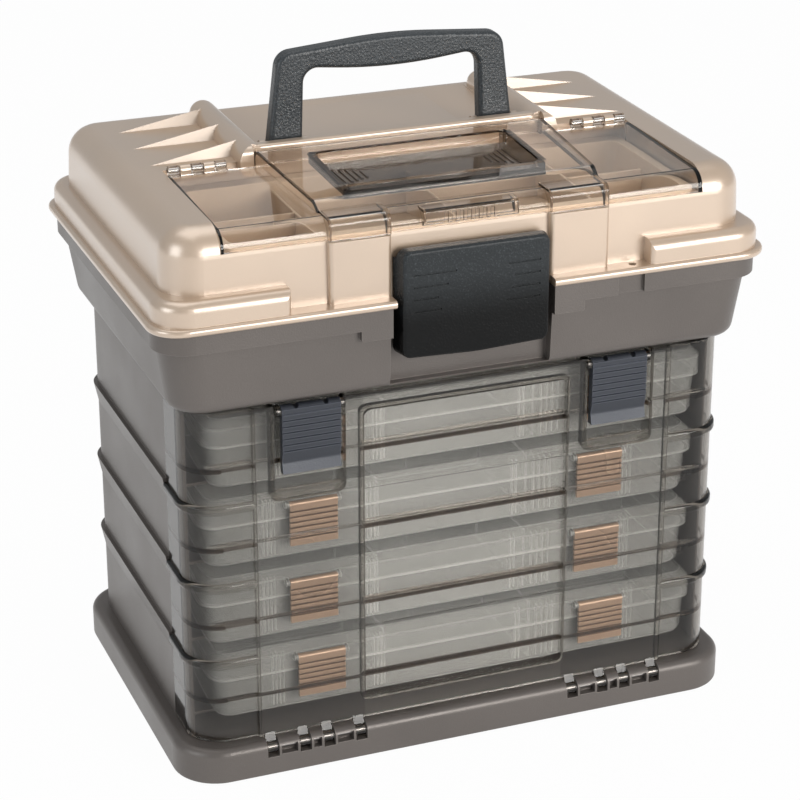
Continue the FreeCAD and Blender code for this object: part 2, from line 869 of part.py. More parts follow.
def finish_lid_hinge(body):
    gap = lid_knuckle_gap
    for side in (-1, 1):
        spans = lid_hinge_spans(side)
        for x0, x1 in (spans[0], spans[2]):
            body = cut(body, block(x0, x1, lid_notch_y, rim_half_depth + overrun, rim_level - overrun,
                                   rim_level + bead_height))
        x0, x1 = spans[1]
        knuckle = rod(lid_knuckle_radius, x0 + gap, x1 - gap, lid_axis_y, rim_level)
        web = block(x0 + gap, x1 - gap, lid_notch_y + swing_gap, lid_axis_y, rim_level,
                    rim_level + bead_height)
        body = joined(body, knuckle, web)
        body = cut(body, rod(lid_pin_radius + running_fit, spans[0][0], spans[2][1], lid_axis_y, rim_level))
    return body


# Clear cover: two low wings and a raised crown in one moulding, with a dished panel in the
# crown, a boss over each pilaster and a catch in the middle of its front.
def wing_outline(inset):
    return [(cover_back_y, cover_wing_back_z - inset),
            (cover_front_y + inset, cover_wing_front_z - inset, cover_bend_round - inset),
            (cover_lip_y + inset, sill_level + cover_edge_gap - (overrun if inset else 0)),
            (cover_back_y, sill_level + cover_edge_gap - (overrun if inset else 0))]


def crown_outline(inset):
    axis_z = cover_axis_z
    foot = sill_level + cover_edge_gap - (overrun if inset else 0)
    roll = cover_roll_radius - inset
    return [(cover_axis_y + roll, foot), (cover_axis_y + roll, axis_z + roll, roll * cover_roll_share),
            (cover_crown_front_y + inset / 2, cover_crown_front_z - inset, cover_slope_round),
            (cover_slope_foot_y + inset, cover_slope_foot_z - inset, cover_slope_round),
            (cover_lip_y + inset, cover_brow_z - inset, cover_brow_round),
            (cover_lip_y + inset, foot)]


def boss_outline(inset):
    foot = sill_level + cover_edge_gap - (overrun if inset else 0)
    return [(cover_crown_front_y, cover_boss_top_z - inset),
            (cover_boss_front_y + inset, cover_boss_top_z - inset, cover_boss_round - inset),
            (cover_boss_front_y + inset, foot), (cover_crown_front_y, foot)]


def crown_plan(inset):
    back = cover_axis_y + cover_roll_radius
    back_half = cover_crown_back_half - inset
    front_half = cover_crown_front_half - inset
    return extrude_z([(-back_half, back), (-front_half, cover_boss_front_y),
                      (front_half, cover_boss_front_y), (back_half, back)],
                     sill_level - overrun * 2, ridge_crest)


# Short ribs at both ends of the dish, the outer ones longest
def dish_ribs():
    middle = (cover_dish_back + cover_dish_front) / 2
    ribs = []
    for i in range(dish_rib_count):
        x = cover_dish_half - dish_rib_margin - dish_rib_pitch * i
        reach = dish_rib_reach * (1 - dish_rib_fall_share * i)
        ribs += both(block(x - dish_rib_width, x, middle - reach, middle + reach,
                           cover_dish_floor - cover_wall / 2, cover_dish_floor + dish_rib_rise))
    return ribs


# The catch has a ribbed recess for a finger.
def catch_recess():
    pitch = catch_recess_half * 2 / catch_rib_count
    grooves = []
    for i in range(catch_rib_count):
        x = -catch_recess_half + pitch * i
        grooves.append(block(x, x + pitch * catch_rib_share, catch_front_y - overrun,
                             catch_front_y + catch_recess_depth, catch_foot_z - overrun,
                             catch_top_z - catch_recess_drop))
    return Part.makeCompound(grooves)


def top_cover():
    wing_half = opening_half - cover_edge_gap
    wall = cover_wall
    crown_half = cover_crown_back_half
    outer = joined(extrude_x(wing_outline(0), -wing_half, wing_half),
                   extrude_x(crown_outline(0), -crown_half, crown_half).common(crown_plan(0)),
                   *both(extrude_x(boss_outline(0), pilaster_inner_x, cover_crown_front_half)))
    catch = extrude_x([(cover_crown_front_y, catch_foot_z), (cover_crown_front_y, catch_top_z),
                       (catch_front_y, catch_top_z, catch_round), (catch_front_y, catch_foot_z, catch_round)],
                      -catch_half, catch_half)
    outer = joined(outer, catch)
    crown_inner = extrude_x(crown_outline(wall), -crown_half, crown_half).common(crown_plan(wall))
    dish_floor = block(-cover_dish_half - wall, cover_dish_half + wall, cover_dish_front - wall,
                       cover_dish_back + wall, cover_dish_floor - wall, ridge_crest)
    crown_inner = cut(crown_inner, dish_floor)
    wing_inner = extrude_x(wing_outline(wall), -wing_half + wall, wing_half - wall)
    inner = joined(wing_inner, crown_inner,
                   *both(extrude_x(boss_outline(wall), pilaster_inner_x + wall, cover_crown_front_half - wall)))
    catch_inner = block(-catch_half + wall, catch_half - wall, catch_front_y + wall, cover_crown_front_y,
                        catch_foot_z + wall, catch_top_z - wall)
    dish = extrude_z(plan(cover_dish_half, cover_dish_front, cover_dish_back, cover_dish_corner),
                     cover_dish_floor, ridge_crest)
    body = cut(outer, inner, catch_inner, cut(dish, *dish_ribs()), catch_recess())
    # The back is open between the wings' edge and the hinge.
    back_gap = block(-rim_width, rim_width, cover_back_y, cover_axis_y + cover_roll_radius + overrun,
                     sill_level - overrun, cover_axis_z - cover_roll_radius / 2)
    body = cut(body, cut(back_gap, block(-crown_half, crown_half, cover_axis_y, opening_back,
                                         cover_axis_z - cover_roll_radius, ridge_crest)))
    for x in cover_knuckle_places():
        x0 = x - cover_knuckle_width / 2
        x1 = x + cover_knuckle_width / 2
        knuckle = rod(cover_knuckle_radius, x0, x1, cover_axis_y, cover_axis_z)
        web = block(x0, x1, cover_back_y - wall, cover_axis_y, cover_wing_back_z - wall, cover_wing_back_z)
        body = joined(body, *both(knuckle), *both(web))
    bore = rod(cover_pin_radius + running_fit / 2, cover_crown_back_half, opening_half, cover_axis_y, cover_axis_z)
    return cut(body, *both(bore))


def top_cover_pins():
    places = cover_knuckle_places()
    x0 = places[0] - cover_knuckle_width / 2
    x1 = places[-1] + cover_knuckle_width / 2
    return Part.makeCompound(both(rod(cover_pin_radius, x0, x1, cover_axis_y, cover_axis_z)))


# Bait tray: a drawn tray that hangs by its rim from the lid's ledge.
def bait_tray():
    rim_top = sill_level + tray_rim_thickness
    flange = plan_prism(tray_rim_half, tray_rim_front, tray_rim_back, tray_corner, sill_level, rim_top)
    outer = plan_loft([(tray_floor_half, tray_floor_front, tray_floor_back, tray_corner, tray_floor_level),
                       (tray_mouth_half, tray_mouth_front, tray_mouth_back, tray_corner, sill_level)])
    hollow = plan_loft([(tray_floor_half - tray_wall, tray_floor_front + tray_wall, tray_floor_back - tray_wall,
                         tray_corner - tray_wall, tray_floor_level + tray_wall),
                        (tray_mouth_half - tray_wall, tray_mouth_front + tray_wall, tray_mouth_back - tray_wall,
                         tray_corner - tray_wall, rim_top)])
    return cut(joined(flange, outer), hollow)


def bait_tray_dividers():
    low = tray_floor_level + tray_wall + tray_divider_gap
    high = sill_level - tray_divider_drop
    front = tray_floor_front + tray_wall + tray_divider_gap
    back = tray_floor_back - tray_wall - tray_divider_gap
    half = tray_divider / 2
    plates = [block(x - half, x + half, front, back, low, high) for x in (-tray_split_x, 0, tray_split_x)]
    middle = front + (back - front) * tray_split_share
    x0 = tray_split_x + half + tray_divider_gap
    x1 = tray_floor_half - tray_wall - tray_divider_gap
    plates += both(block(x0, x1, middle - half, middle + half, low, high))
    return Part.makeCompound(plates)


# Carry handle: a drawn-in bail with a grip that swells in the middle.
def carry_handle():
    foot = handle_axis_z - handle_foot_drop
    corners = [(-handle_foot_outer, foot, handle_edge_round),
               (-handle_head_outer, handle_top_end, handle_outer_round),
               (0, handle_top_middle, handle_crown_radius),
               (handle_head_outer, handle_top_end, handle_outer_round),
               (handle_foot_outer, foot, handle_edge_round), (handle_foot_inner, foot, handle_edge_round),
               (handle_head_inner, handle_under_end, handle_inner_round),
               (0, handle_under_middle, handle_crown_radius),
               (-handle_head_inner, handle_under_end, handle_inner_round),
               (-handle_foot_inner, foot, handle_edge_round)]
    front = handle_axis_y - handle_depth / 2
    body = extrude_y(corners, front, front + handle_depth)
    long_edges = [e for e in body.Edges if e.BoundBox.YLength < seat_gap]
    body = body.makeFillet(handle_edge_round, long_edges)
    bore = rod(handle_pin_radius + running_fit, 0, handle_foot_outer + overrun, handle_axis_y, handle_axis_z)
    return cut(body, *both(bore))


def handle_pins():
    x0 = handle_foot_inner - handle_ear_gap - handle_ear_width
    x1 = handle_foot_outer + handle_ear_gap + handle_ear_width
    return Part.makeCompound(both(rod(handle_pin_radius, x0, x1, handle_axis_y, handle_axis_z)))


# Front latch: a hollow plate that flares towards the lid, hung from a pin across the lid.
def latch_outline(inset, flare):
    half = latch_half + flare - inset
    corner = latch_corner - inset / 2
    return [(-half, latch_top - inset, corner), (half, latch_top - inset, corner),
            (half, latch_bottom + latch_sag + inset, corner), (0, latch_bottom + inset, latch_half * 3),
            (-half, latch_bottom + latch_sag + inset, corner)]


def latch_block(inset):
    front = latch_front + inset
    return Part.makeLoft([outline_wire(latch_outline(inset, 0), lambda u, v: V(u, front, v)),
                          outline_wire(latch_outline(inset, latch_flare), lambda u, v: V(u, latch_back, v))],
                         True, True)


def front_latch():
    body = latch_block(0)
    front_edges = [e for e in body.Edges if abs(e.BoundBox.YMax - latch_front) < seat_gap]
    body = body.makeFillet(latch_edge_round, front_edges)
    # The top wall stops just behind the pin, so that it clears the lid as it turns.
    behind = block(-latch_half * 2, latch_half * 2, latch_axis_y + latch_top_overhang, latch_back + overrun,
                   latch_axis_z, latch_top + overrun)
    body = cut(body, latch_block(latch_wall), behind)
    lines = []
    for side, shares in ((-1, latch_left_lines_share), (1, latch_right_lines_share)):
        for i, share in enumerate(shares):
            z = latch_top - latch_line_top_drop - latch_line_pitch * i
            ends = sorted((side * (latch_half - latch_line_edge - latch_line_length * share),
                           side * (latch_half - latch_line_edge)))
            lines.append(block(ends[0], ends[1], latch_front - overrun, latch_front + latch_line_depth,
                               z - latch_line_height / 2, z + latch_line_height / 2))
    body = cut(body, *lines)
    hook = block(-latch_hook_half, latch_hook_half, latch_front + latch_wall / 2, latch_hook_end,
                 keeper_level - latch_hook_thickness, keeper_level)
    body = joined(body, hook)
    reach = latch_half - latch_wall / 2
    return cut(body, rod(latch_pin_radius + running_fit / 2, -reach, reach, latch_axis_y, latch_axis_z))


def front_latch_pin():
    reach = latch_half - latch_wall / 2 - running_fit
    return rod(latch_pin_radius, -reach, reach, latch_axis_y, latch_axis_z)


# Door: a shallow clear tray that wraps both front corners, with a raised panel, a window
# set back in it, two pockets for the latches and three half-round beads round each corner.
def door_wrap(grow, set_back, low, high):
    half = door_half + grow
    front = door_front + door_column_set_back - grow + set_back
    corner = door_corner + grow
    return extrude_z([(-half, front, corner), (half, front, corner), (half, door_rear), (-half, door_rear)],
                     low, high)


def door_bead(level):
    low = level - door_bead_height / 2
    high = level + door_bead_height / 2
    body = door_wrap(door_column_set_back, 0, low, high)
    edges = [e for e in edges_at(body, low) + edges_at(body, high)
             if abs(e.BoundBox.YMax - door_rear) > seat_gap or e.BoundBox.YLength > seat_gap]
    body = body.makeFillet(door_bead_round, edges)
    return cut(body, block(-door_panel_half, door_panel_half, door_front - overrun, door_rear,
                           low - overrun, high + overrun))


def panel_block(half, front, back, low, high, corner):
    return extrude_y([(-half, low, corner), (half, low, corner), (half, high, corner), (-half, high, corner)],
                     front, back)


def pocket_block(grow, front, back):
    half = pocket_half + grow
    return extrude_y([(pocket_centre - half, pocket_bottom - grow, pocket_round),
                      (pocket_centre + half, pocket_bottom - grow, pocket_round),
                      (pocket_centre + half, door_top + overrun), (pocket_centre - half, door_top + overrun)],
                     front, back)


def door_arm(x):
    x0 = x - door_arm_width / 2
    barrel = rod(door_arm_radius, x0, x0 + door_arm_width, door_axis_y, door_axis_z)
    strap = extrude_x([(door_axis_y, door_axis_z + door_arm_radius * arm_root_share), (door_axis_y, door_axis_z),
                       (door_axis_y + door_arm_radius, door_axis_z),
                       (door_front + door_wall, door_foot + door_wall), (door_front, door_foot + door_wall)],
                      x0, x0 + door_arm_width)
    return barrel.fuse(strap)


def front_door():
    low = door_foot
    high = door_top
    wall = door_wall
    body = door_wrap(0, 0, low, high)
    proud = block(-door_panel_half, door_panel_half, door_front, door_front + door_corner, low, high)
    body = joined(body, proud, *[door_bead(level) for level in door_bead_levels])
    hollow = cut(door_wrap(-wall, 0, low - overrun, high + overrun),
                 block(-rim_width, rim_width, door_front - overrun, door_front + door_top_lip,
                       high - wall, high + overrun))
    hollow = hollow.fuse(block(-door_half + wall, door_half - wall, door_rear - swing_gap, door_rear + overrun,
                               low - overrun, high + overrun))
    panel_hollow = block(-door_panel_half + wall, door_panel_half - wall, door_front + wall,
                         door_front + door_corner, low - overrun, high - wall)
    window_back = panel_block(door_window_half + wall, door_front - overrun,
                              door_front + door_window_set_back + wall, door_window_low - wall,
                              door_window_high + wall, door_window_round)
    pocket_back = both(pocket_block(wall, door_front - overrun, pocket_floor_y + wall))
    keep = [window_back] + pocket_back
    body = cut(body, cut(hollow, *keep), cut(panel_hollow, *keep))
    window = panel_block(door_window_half, door_front - overrun, door_front + door_window_set_back,
                         door_window_low, door_window_high, door_window_round)
    line_back = door_front + door_window_set_back + window_line_depth
    lines = [block(-door_window_half, door_window_half, door_front, line_back, z - window_line_height, z)
             for z in window_line_levels]
    # Each pocket has a shallower ledge along its foot.
    shelf = block(0, door_half, (door_front + pocket_floor_y) / 2, door_rear, low, pocket_bottom + pocket_ledge)
    pocket = cut(pocket_block(0, door_front - overrun, pocket_floor_y), shelf)
    body = cut(body, window, *lines, *both(pocket))
    ribs = []
    inner_faces = [(-door_half + wall, -door_panel_half, door_front + door_column_set_back + wall),
                   (-door_panel_half, door_panel_half, door_front + wall),
                   (-door_window_half, door_window_half, door_front + door_window_set_back + wall)]
    for row in range(row_count):
        z = row_floor + row_pitch * row + door_rib_offset
        for x0, x1, y in inner_faces:
            spans = [(x0, x1)] if x0 == -x1 else [(x0, x1), (-x1, -x0)]
            for a, b in spans:
                strip = block(a, b, y - wall / 2, y + door_rib_depth, z - door_rib_thickness, z)
                ribs.append(strip.common(door_wrap(-wall / 2, 0, low, high)))
    ribs = [cut(r, *both(pocket_block(wall / 2, door_front - overrun, door_rear))) for r in ribs]
    arms = [door_arm(x) for side in (-1, 1) for x in hinge_arm_places(side)]
    x0 = door_latch_x - door_latch_half - swing_gap / 2 - door_latch_boss_width
    x1 = door_latch_x + door_latch_half + swing_gap / 2
    bosses = []
    for x in (x0, x1):
        end = x + door_latch_boss_width
        bosses.append(rod(door_latch_boss_radius, x, end, door_latch_axis_y, door_latch_axis_z))
        bosses.append(block(x, end, door_latch_axis_y, pocket_floor_y + wall / 2,
                            door_latch_axis_z - door_latch_boss_radius,
                            door_latch_axis_z + door_latch_boss_radius))
    bosses = [b for boss in bosses for b in both(boss)]
    body = joined(body, *ribs, *bosses)
    # The top edge follows an arc about the hinge, so that it clears the tub as it swings.
    swing = rod(door_top - door_axis_z + swing_gap, -rim_width, rim_width, door_axis_y, door_axis_z)
    body = joined(body.common(swing), *arms)
    bores = []
    for side in (-1, 1):
        reach = arm_outer_pitch
        x = side * hinge_centre_x
        bores.append(rod(door_pin_radius + running_fit, x - reach, x + reach, door_axis_y, door_axis_z))
    bores += both(rod(door_latch_pin_radius + running_fit / 2, x0, x1 + door_latch_boss_width,
                      door_latch_axis_y, door_latch_axis_z))
    return cut(body, *bores)


# Door latch: grooved over most of its face, with a finger scoop at its foot.
def door_latch(side):
    barrel = door_latch_barrel
    axis_y = door_latch_axis_y
    axis_z = door_latch_axis_z
    scoop_top = door_latch_bottom + (axis_z - door_latch_bottom) * door_latch_scoop_share
    face = door_latch_front
    pitch = (axis_z + barrel / 2 - scoop_top) / door_latch_rib_count
    corners = [(axis_y, axis_z + barrel / 2), (face, axis_z + barrel / 2)]
    for i in range(door_latch_rib_count):
        z = axis_z + barrel / 2 - pitch * (i + 1)
        corners.append((face, z + door_latch_groove))
        corners.append((face + door_latch_groove, z + door_latch_groove / 2))
        corners.append((face, z))
    corners += [(face + door_latch_scoop, (scoop_top + door_latch_bottom) / 2, pitch),
                (face, door_latch_bottom), (door_latch_back, door_latch_bottom),
                (door_latch_back, axis_z - barrel),
                (axis_y + barrel * door_latch_back_share, axis_z)]
    x0 = side * door_latch_x - door_latch_half
    body = joined(extrude_x(corners, x0, x0 + door_latch_half * 2),
                  rod(barrel, x0, x0 + door_latch_half * 2, axis_y, axis_z))
    notches = []
    for offset in (-door_latch_notch_x, door_latch_notch_x):
        x = side * door_latch_x + offset
        start = V(x, axis_y - barrel * 2, axis_z + barrel)
        notches.append(Part.makeCylinder(door_latch_notch_radius, barrel * 3, start, V(0, 1, 0)))
    bore = rod(door_latch_pin_radius + running_fit, x0, x0 + door_latch_half * 2, axis_y, axis_z)
    return cut(body, bore, *notches)


def door_latch_pins():
    reach = door_latch_half + swing_gap / 2 + door_latch_boss_width
    return Part.makeCompound(both(rod(door_latch_pin_radius, door_latch_x - reach, door_latch_x + reach,
                                      door_latch_axis_y, door_latch_axis_z)))


# Utility boxes. Each is modelled from its own floor level and its own middle.
def box_base(floor, shift):
    low = floor
    high = floor + box_base_height
    outer = plan_loft([(box_half - box_taper, box_front + box_taper, box_back - box_taper, box_corner, low),
                       (box_half - box_lid_overhang, box_front + box_lid_overhang,
                        box_back - box_lid_overhang, box_corner, high)])
    outer = rounded_at(outer, low, box_foot_round)
    wall = box_wall
    hollow = plan_loft([(box_half - box_taper - wall, box_front + box_taper + wall, box_back - box_taper - wall,
                         box_corner - wall, low + wall),
                        (box_half - box_lid_overhang - wall, box_front + box_lid_overhang + wall,
                         box_back - box_lid_overhang - wall, box_corner - wall, high)])
    body = cut(outer, hollow)
    for side in (-1, 1):
        spans = box_hinge_spans(side)
        body = joined(body, box_knuckle(spans[0], floor, -1), box_knuckle(spans[2], floor, -1))
        body = cut(body, box_hinge_bore(spans, floor), box_hinge_room(spans[1], floor))
    return body.translated(V(shift, 0, 0))


# The lid of each box turns on two short hinges at its back. The base has the outer
# knuckles of each hinge and the lid has the middle one.
def box_hinge_spans(side):
    start = side * box_hinge_x - box_hinge_knuckle * 3 / 2
    return [(start + box_hinge_knuckle * i, start + box_hinge_knuckle * (i + 1)) for i in range(3)]


def box_knuckle(span, floor, upward):
    y = box_back + box_hinge_reach
    z = floor + box_split
    x0 = span[0] + box_hinge_gap / 2
    x1 = span[1] - box_hinge_gap / 2
    barrel = rod(box_hinge_radius, x0, x1, y, z)
    ends = sorted((z, z + upward * box_hinge_radius))
    web = block(x0, x1, box_back - box_lid_overhang - box_wall / 2, y, ends[0], ends[1])
    return barrel.fuse(web)


# Room for a knuckle of the other part
def box_hinge_room(span, floor):
    y = box_back + box_hinge_reach
    reach = box_hinge_radius + box_hinge_gap
    return rod(reach, span[0] - box_hinge_gap / 2, span[1] + box_hinge_gap / 2, y, floor + box_split)


def box_hinge_bore(spans, floor):
    return rod(box_hinge_pin_radius + running_fit / 2, spans[0][0], spans[2][1],
               box_back + box_hinge_reach, floor + box_split)


def box_hinge_pins(floor, shift):
    pins = []
    for side in (-1, 1):
        spans = box_hinge_spans(side)
        pins.append(rod(box_hinge_pin_radius, spans[0][0] + box_hinge_gap / 2, spans[2][1] - box_hinge_gap / 2,
                        box_back + box_hinge_reach, floor + box_split))
    return Part.makeCompound([p.translated(V(shift, 0, 0)) for p in pins])


def box_lid(floor, shift):
    low = floor + box_split + seat_gap
    skirt = low + box_lid_skirt
    high = floor + box_height
    lower = plan_prism(box_half, box_front, box_back, box_corner, low, skirt)
    upper = plan_loft([(box_half, box_front, box_back, box_corner, skirt),
                       (box_half - box_lid_chamfer, box_front + box_lid_chamfer, box_back - box_lid_chamfer,
                        box_corner - box_lid_chamfer / 2, high)])
    body = joined(lower, upper)
    wall = box_lid_wall
    hollow = joined(
        plan_prism(box_half - wall, box_front + wall, box_back - wall, box_corner - wall, low - overrun, skirt),
        plan_loft([(box_half - wall, box_front + wall, box_back - wall, box_corner - wall, skirt),
                   (box_half - box_lid_chamfer - wall, box_front + box_lid_chamfer + wall,
                    box_back - box_lid_chamfer - wall, box_corner - box_lid_chamfer / 2 - wall, high - wall)]))
    margin = box_lid_recess_margin
    recess = plan_prism(box_half - margin, box_front + margin, box_back - margin, box_corner - wall,
                        high - box_lid_recess, high + overrun)
    body = cut(body, hollow, recess)
    ears = []
    for side in (-1, 1):
        for edge in (-1, 1):
            start = side * box_latch_x + edge * (box_latch_half + box_latch_ear_gap + box_latch_ear_width / 2)
            ears.append(latch_ear_block(floor, start))
    body = joined(body, *ears)
    bores = [rod(box_latch_pin_radius + running_fit / 2,
                 side * box_latch_x - box_latch_half - box_latch_ear_gap - box_latch_ear_width,
                 side * box_latch_x + box_latch_half + box_latch_ear_gap + box_latch_ear_width,
                 box_latch_axis_y(), floor + box_latch_axis_height()) for side in (-1, 1)]
    body = cut(body, *bores)
    for side in (-1, 1):
        spans = box_hinge_spans(side)
        body = cut(body, box_hinge_room(spans[0], floor), box_hinge_room(spans[2], floor))
        body = joined(body, box_knuckle(spans[1], floor, 1))
        body = cut(body, box_hinge_bore(spans, floor))
    return body.translated(V(shift, 0, 0))


def box_latch_axis_y():
    return box_front - box_latch_standoff - box_latch_barrel


def box_latch_axis_height():
    return box_split + box_lid_skirt - box_latch_axis_drop / 2


def latch_ear_block(floor, x):
    half = box_latch_ear_width / 2
    y = box_latch_axis_y()
    z = floor + box_latch_axis_height()
    barrel = rod(box_latch_barrel, x - half, x + half, y, z)
    web = block(x - half, x + half, y, box_front + box_lid_wall / 2, z - box_latch_barrel, z + box_latch_barrel)
    return barrel.fuse(web)


# Dividers: one long wall and cross plates in both lanes. They stop short of the walls and of
# each other.
def box_dividers(floor, shift):
    low = floor + box_wall + box_divider_gap
    high = floor + box_height - box_lid_wall - box_lid_recess - box_divider_drop
    inset = box_taper + box_wall + box_divider_gap + box_foot_round / 2
    front = box_front + inset
    back = box_back - inset
    half_width = box_half - inset
    half = box_divider / 2
    lane = front + (back - front) * box_lane_share
    plates = [block(-half_width, half_width, lane - half, lane + half, low, high)]
    for share in box_front_dividers_share:
        x = half_width * (share * 2 - 1)
        plates.append(block(x - half, x + half, front, lane - half - box_divider_gap, low, high))
    for share in box_back_dividers_share:
        x = half_width * (share * 2 - 1)
        plates.append(block(x - half, x + half, lane + half + box_divider_gap, back, low, high))
    return Part.makeCompound([plate.translated(V(shift, 0, 0)) for plate in plates])


# Latch of a utility box: a ribbed flap that hangs from the lid and closes over the base.
def box_latch(floor, shift, side):
    axis_y = box_latch_axis_y()
    axis_z = floor + box_latch_axis_height()
    barrel = box_latch_barrel
    face = axis_y - barrel
    back = face + box_latch_thickness
    foot = axis_z - box_latch_length
    pitch = (box_latch_length - barrel) / (box_latch_rib_count + 1)
    corners = [(axis_y, axis_z + barrel), (face + barrel / 3, axis_z + barrel * 2 / 3), (face, axis_z)]
    for i in range(box_latch_rib_count):
        z = axis_z - barrel / 2 - pitch * (i + 1)
        corners.append((face, z + box_latch_rib_depth))
        corners.append((face + box_latch_rib_depth, z))
        corners.append((face, z - box_latch_rib_depth / 2))
    corners += [(face, foot), (back, foot), (back, axis_z - barrel), (axis_y, axis_z - barrel)]
    x0 = side * box_latch_x - box_latch_half
    body = joined(extrude_x(corners, x0, x0 + box_latch_half * 2),
                  rod(barrel, x0, x0 + box_latch_half * 2, axis_y, axis_z))
    bore = rod(box_latch_pin_radius + running_fit, x0, x0 + box_latch_half * 2, axis_y, axis_z)
    return cut(body, bore).translated(V(shift, 0, 0))


def box_latch_pins(floor, shift):
    reach = box_latch_half + box_latch_ear_gap + box_latch_ear_width
    pin = rod(box_latch_pin_radius, box_latch_x - reach, box_latch_x + reach, box_latch_axis_y(),
              floor + box_latch_axis_height())
    return Part.makeCompound([p.translated(V(shift, 0, 0)) for p in both(pin)])


def save(name, shape):
    solids = shape.Solids
    bad = [s for s in solids if not s.isValid() or s.Volume <= 0]
    print(name, "solids", len(solids), "volume", round(shape.Volume), "faces", len(shape.Faces),
          "BAD" if bad or not solids else "")
    out = solids[0] if len(solids) == 1 else Part.makeCompound(solids)
    out.exportStep("parts/" + name + ".step")


def main():
    os.makedirs("parts", exist_ok=True)
    save("base_tray", base_tray())
    save("door_hinge_pins", door_hinge_pins())
    save("cabinet_shell", cabinet_shell())
    save("box_runners", box_runners())
    save("top_tub", top_tub())
    save("lid_hinge_pins", lid_hinge_pins())
    save("lid_shell", lid_shell())
    save("top_cover", top_cover())
    save("top_cover_pins", top_cover_pins())
    save("bait_tray", bait_tray())
    save("bait_tray_dividers", bait_tray_dividers())
    save("carry_handle", carry_handle())
    save("handle_pins", handle_pins())
    save("front_latch", front_latch())
    save("front_latch_pin", front_latch_pin())
    save("front_door", front_door())
    save("door_latch_left", door_latch(-1))
    save("door_latch_right", door_latch(1))
    save("door_latch_pins", door_latch_pins())
    for number in range(1, row_count + 1):
        floor = row_floor + row_pitch * (row_count - number) + seat_gap
        shift = box_shift_right[number - 1]
        name = "box_" + str(number)
        save(name + "_base", box_base(floor, shift))
        save(name + "_lid", box_lid(floor, shift))
        save(name + "_dividers", box_dividers(floor, shift))
        save(name + "_hinge_pins", box_hinge_pins(floor, shift))
        save(name + "_latch_pins", box_latch_pins(floor, shift))
        save(name + "_latch_left", box_latch(floor, shift, -1))
        save(name + "_latch_right", box_latch(floor, shift, 1))


main()
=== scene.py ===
import math
import bpy
from mathutils import Matrix, Vector


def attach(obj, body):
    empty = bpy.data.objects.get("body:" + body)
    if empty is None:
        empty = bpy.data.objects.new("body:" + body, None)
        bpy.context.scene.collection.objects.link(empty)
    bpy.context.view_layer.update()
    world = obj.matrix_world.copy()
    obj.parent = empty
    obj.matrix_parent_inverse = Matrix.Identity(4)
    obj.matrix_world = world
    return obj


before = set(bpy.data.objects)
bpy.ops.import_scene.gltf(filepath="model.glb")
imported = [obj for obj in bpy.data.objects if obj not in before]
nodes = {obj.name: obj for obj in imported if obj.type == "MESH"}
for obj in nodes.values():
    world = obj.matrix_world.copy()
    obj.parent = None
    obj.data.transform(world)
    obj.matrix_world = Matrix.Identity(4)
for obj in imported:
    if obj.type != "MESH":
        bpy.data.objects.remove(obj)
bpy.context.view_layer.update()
print("tackle cabinet: frame loaded,", len(nodes), "nodes")


# Small helpers for the materials
def startMaterial(name):
    mat = bpy.data.materials.new(name)
    mat.use_nodes = True
    tree = mat.node_tree
    tree.nodes.clear()
    out = addNode(tree, "ShaderNodeOutputMaterial")
    shader = addNode(tree, "ShaderNodeBsdfPrincipled")
    return mat, tree, out, shader


def addNode(tree, kind, **values):
    node = tree.nodes.new(kind)
    for key, value in values.items():
        if key in node.inputs:
            node.inputs[key].default_value = value
        else:
            setattr(node, key, value)
    return node


def setInputs(node, values):
    for key, value in values.items():
        node.inputs[key].default_value = value


# A math node over one to three values, each a socket or a number
def maths(tree, operation, first, second=None, third=None):
    node = addNode(tree, "ShaderNodeMath", operation=operation)
    for socket, value in zip(node.inputs, (first, second, third)):
        if isinstance(value, bpy.types.NodeSocket):
            tree.links.new(value, socket)
        elif value is not None:
            socket.default_value = value
    return node.outputs[0]


# 1 where the value lies between two limits, 0 elsewhere
def between(tree, value, low, high):
    return maths(tree, "COMPARE", value, (low + high) / 2, (high - low) / 2)


def scaleColour(tree, colour, factor):
    node = addNode(tree, "ShaderNodeVectorMath", operation="SCALE")
    tree.links.new(colour, node.inputs[0])
    tree.links.new(factor, node.inputs["Scale"])
    return node.outputs["Vector"]


def mapRange(tree, value, values, **options):
    node = addNode(tree, "ShaderNodeMapRange", **options)
    setInputs(node, values)
    tree.links.new(value, node.inputs["Value"])
    return node.outputs["Result"]


def objectPlace(tree):
    coords = addNode(tree, "ShaderNodeTexCoord")
    split = addNode(tree, "ShaderNodeSeparateXYZ")
    tree.links.new(coords.outputs["Object"], split.inputs[0])
    return split


def srgb(r, g, b):
    def one(v):
        v = v / 255
        return v / 12.92 if v <= 0.04045 else ((v + 0.055) / 1.055) ** 2.4
    return (one(r), one(g), one(b), 1)


# Makes an empty node group with its sockets, and returns it with its two ends
def startGroup(name, inputs, outputs):
    group = bpy.data.node_groups.new(name, "ShaderNodeTree")
    for label, kind, value in inputs:
        socket = group.interface.new_socket(name=label, in_out="INPUT", socket_type=kind)
        socket.default_value = value
    for label, kind in outputs:
        group.interface.new_socket(name=label, in_out="OUTPUT", socket_type=kind)
    return group, group.nodes.new("NodeGroupInput"), group.nodes.new("NodeGroupOutput")


def useGroup(tree, group, values):
    node = addNode(tree, "ShaderNodeGroup")
    node.node_tree = group
    setInputs(node, values)
    return node


# Moulded plastic: a fine leather grain, slow colour drift and bright flecks that catch the light
grainLook = {"driftScale": 9.0, "driftDetail": 3.0, "driftRoughness": 0.55, "driftLow": 0.3, "driftHigh": 0.7,
             "fineDetail": 2.0, "fineRoughness": 0.6, "fineScale": 1.6,
             "fleckLow": 0.56, "fleckHigh": 0.75, "roughnessDrift": 0.07}


